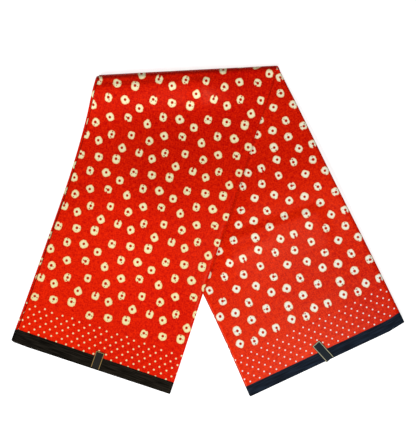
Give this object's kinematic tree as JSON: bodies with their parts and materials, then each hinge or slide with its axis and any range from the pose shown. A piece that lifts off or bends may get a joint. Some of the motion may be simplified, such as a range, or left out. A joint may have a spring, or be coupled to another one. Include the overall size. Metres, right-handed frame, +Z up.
{
  "type": "wax print cloth",
  "caption": "Printed cotton cloth folded back and forth into a long strip, turned over once, its two legs fanned out flat, with a flat label on each selvage.",
  "frame": {"origin": "middle of the folded cloth's outline, on the floor it lies on", "axes": "+Z up from the floor; +Y towards the turn that joins the two legs; +X to the right leg's side"},
  "size_m": [0.7269, 0.612, 0.022],
  "materials": {
    "printed_cotton": "matt cotton with a faint sheen",
    "label": "smooth, near black"
  },
  "bodies": {
    "root": {"cloth": "printed_cotton", "label_left": "label", "label_right": "label"}
  },
  "joints": []
}
